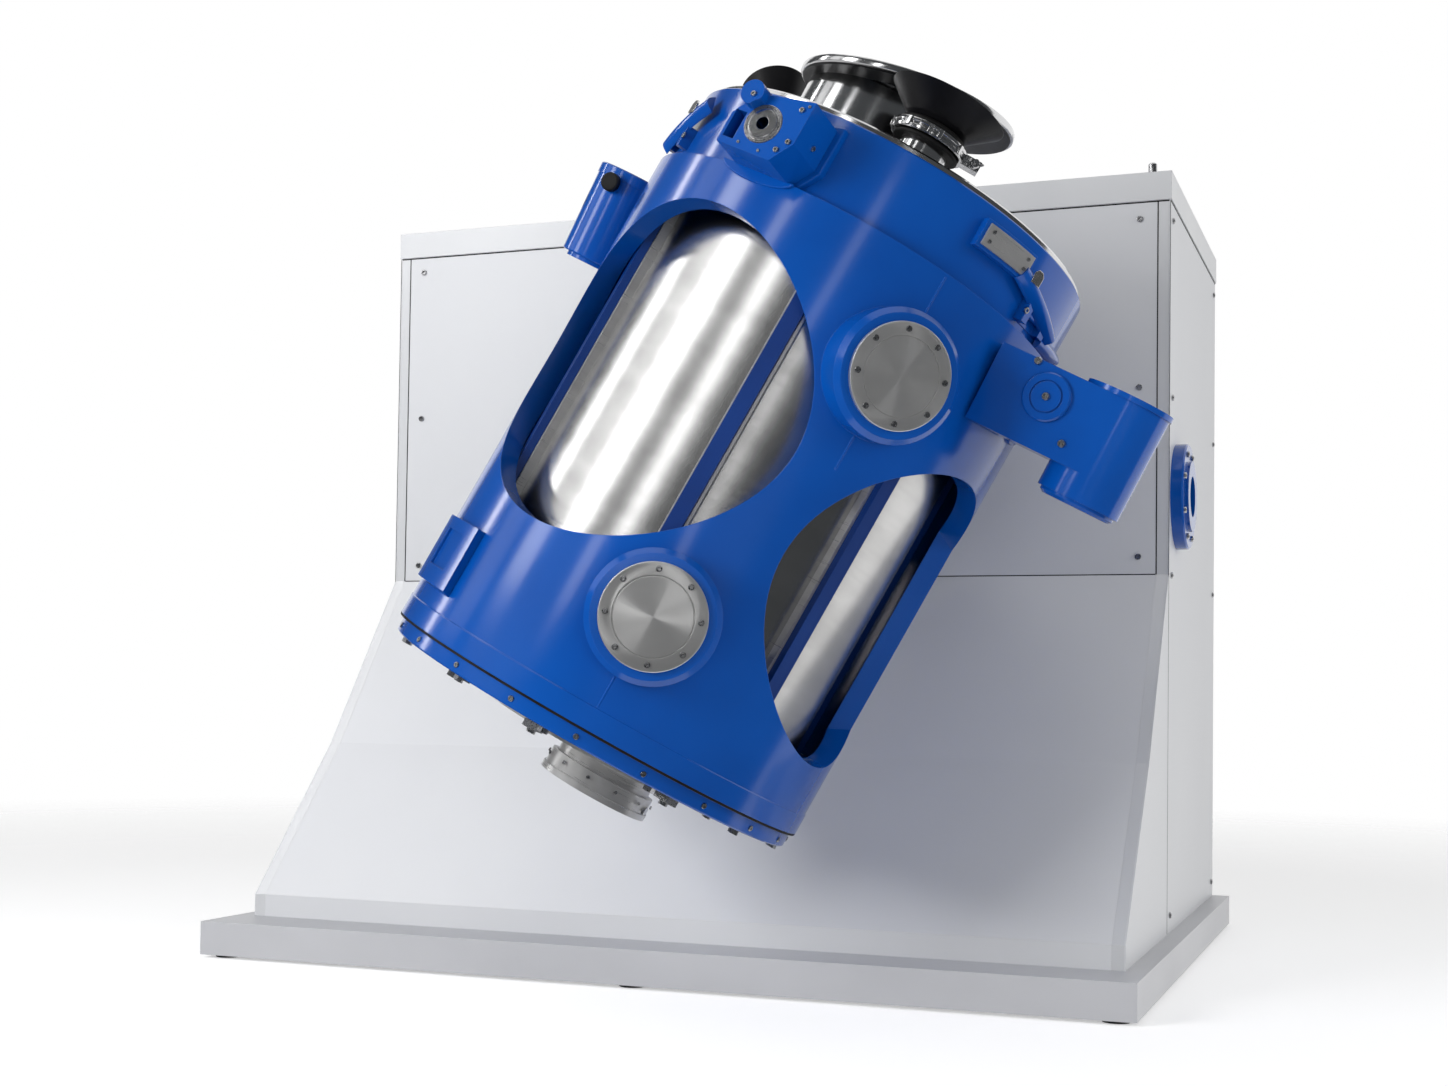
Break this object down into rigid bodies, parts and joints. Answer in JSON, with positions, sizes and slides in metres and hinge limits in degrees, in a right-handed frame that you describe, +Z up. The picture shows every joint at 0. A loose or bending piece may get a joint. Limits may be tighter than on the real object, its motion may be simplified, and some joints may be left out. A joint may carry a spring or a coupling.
{
  "type": "three-dimensional powder blender",
  "caption": "Floor-standing powder blender: a lipped, windowed cage with a steel vessel hangs in a yoke that turns before a folded cabinet.",
  "frame": {"origin": "middle of the plinth's rectangle on the floor", "axes": "+X to the right seen from the vessel's side, +Y to the back of the cabinet, +Z up; the rotor's axis is parallel to Y"},
  "size_m": [2.3922, 2.5888, 2.1531],
  "materials": {
    "cabinet_grey": "satin",
    "frame_grey": "satin",
    "machine_blue": "gloss",
    "polished_steel": "polished",
    "brushed_steel": "brushed",
    "black_funnel": "matte",
    "bronze": "plain",
    "black_rubber": "matte"
  },
  "bodies": {
    "cabinet": {"plinth": "cabinet_grey", "levelling_feet": "black_rubber", "cabinet_frame": "frame_grey", "upper_front_panel": "cabinet_grey", "lower_front_panel": "cabinet_grey", "kick_plate": "cabinet_grey", "corner_trim": "cabinet_grey", "side_panels": "cabinet_grey", "wing_panels": "cabinet_grey", "rear_cover": "cabinet_grey", "top_band": "cabinet_grey", "top_cover": "cabinet_grey", "lifting_stud": "brushed_steel", "cabinet_screws": "brushed_steel", "side_flange": "machine_blue", "main_bearing_housing": "frame_grey", "main_bearing_outer_ring": "brushed_steel", "drive_gearbox": "frame_grey", "drive_motor": "machine_blue"},
    "rotor": {"rotor_shaft": "brushed_steel", "main_bearing_inner_ring": "brushed_steel", "yoke": "machine_blue", "rotor_bolts": "brushed_steel", "rocking_drive_block": "machine_blue", "drive_block_front_cap": "machine_blue", "half_round_caps": "machine_blue", "left_trunnion_barrel": "machine_blue", "left_barrel_cap": "machine_blue", "left_barrel_knob": "black_funnel", "trunnion_bushes": "bronze"},
    "cage": {"cage_shell": "machine_blue", "porthole_covers": "brushed_steel", "porthole_screws": "brushed_steel", "trunnion_pins": "brushed_steel", "top_ring": "machine_blue", "bottom_ring": "machine_blue", "bottom_ring_bolts": "brushed_steel", "guide_rails": "machine_blue", "vessel_wear_strips": "polished_steel", "mixing_vessel": "polished_steel", "vessel_lid": "brushed_steel", "lid_pipes": "polished_steel", "loading_disc": "brushed_steel", "port_funnel": "black_funnel", "port_clamp": "brushed_steel", "vent_funnel": "black_funnel", "bottom_plate": "brushed_steel", "outlet_ring": "brushed_steel", "bottom_clamps": "brushed_steel", "front_boss": "machine_blue", "boss_bearing_outer_ring": "brushed_steel", "service_pad": "machine_blue", "latch_bases": "machine_blue", "latch_steel_plate": "brushed_steel"},
    "barring_shaft": {"barring_shaft": "brushed_steel"},
    "boss_bearing_inner_ring": {"boss_bearing_inner_ring": "brushed_steel"},
    "left_latch_lever": {"left_latch_lever": "machine_blue"},
    "right_latch_lever": {"right_latch_lever": "machine_blue"},
    "wing_nut": {"wing_nut": "brushed_steel"},
    "outlet_valve_disc": {"outlet_valve_disc": "brushed_steel"}
  },
  "joints": [
    {"name": "rotor_spin", "type": "hinge", "parent": "cabinet", "child": "rotor", "pos_m": [0.3376, -0.105, 1.2078], "axis": [0, 1, 0], "continuous": true},
    {"name": "cage_rock", "type": "hinge", "parent": "rotor", "child": "cage", "pos_m": [0.48672, -0.9822, 1.49511], "axis": [0.8876, 0, -0.4607], "range_deg": [-1, 9.2]},
    {"name": "barring_shaft_spin", "type": "hinge", "parent": "cabinet", "child": "barring_shaft", "pos_m": [1.102, 0.045, 1.193], "axis": [1, 0, 0], "continuous": true},
    {"name": "boss_ball_spin", "type": "hinge", "parent": "cage", "child": "boss_bearing_inner_ring", "pos_m": [0.52278, -1.51472, 1.75917], "axis": [-0.0656, -0.9748, 0.2131], "continuous": true},
    {"name": "left_latch_swing", "type": "hinge", "parent": "cage", "child": "left_latch_lever", "pos_m": [0.23989, -1.24905, 1.8355], "axis": [0.6049, -0.7777, -0.1711], "range_deg": [0, 95]},
    {"name": "right_latch_swing", "type": "hinge", "parent": "cage", "child": "right_latch_lever", "pos_m": [0.96168, -1.12023, 1.43721], "axis": [0.2339, 0.9274, -0.2918], "range_deg": [0, 95]},
    {"name": "wing_nut_spin", "type": "hinge", "parent": "cage", "child": "wing_nut", "pos_m": [0.87074, -1.25847, 1.72442], "axis": [0.3732, -0.9274, -0.0233], "continuous": true},
    {"name": "outlet_valve_turn", "type": "hinge", "parent": "cage", "child": "outlet_valve_disc", "pos_m": [0.03247, -1.16341, 0.4788], "axis": [0.8876, 0, -0.4607], "range_deg": [0, 90]}
  ],
  "couplings": [
    {"joint": "barring_shaft_spin", "follows": "rotor_spin", "ratio": 1}
  ]
}
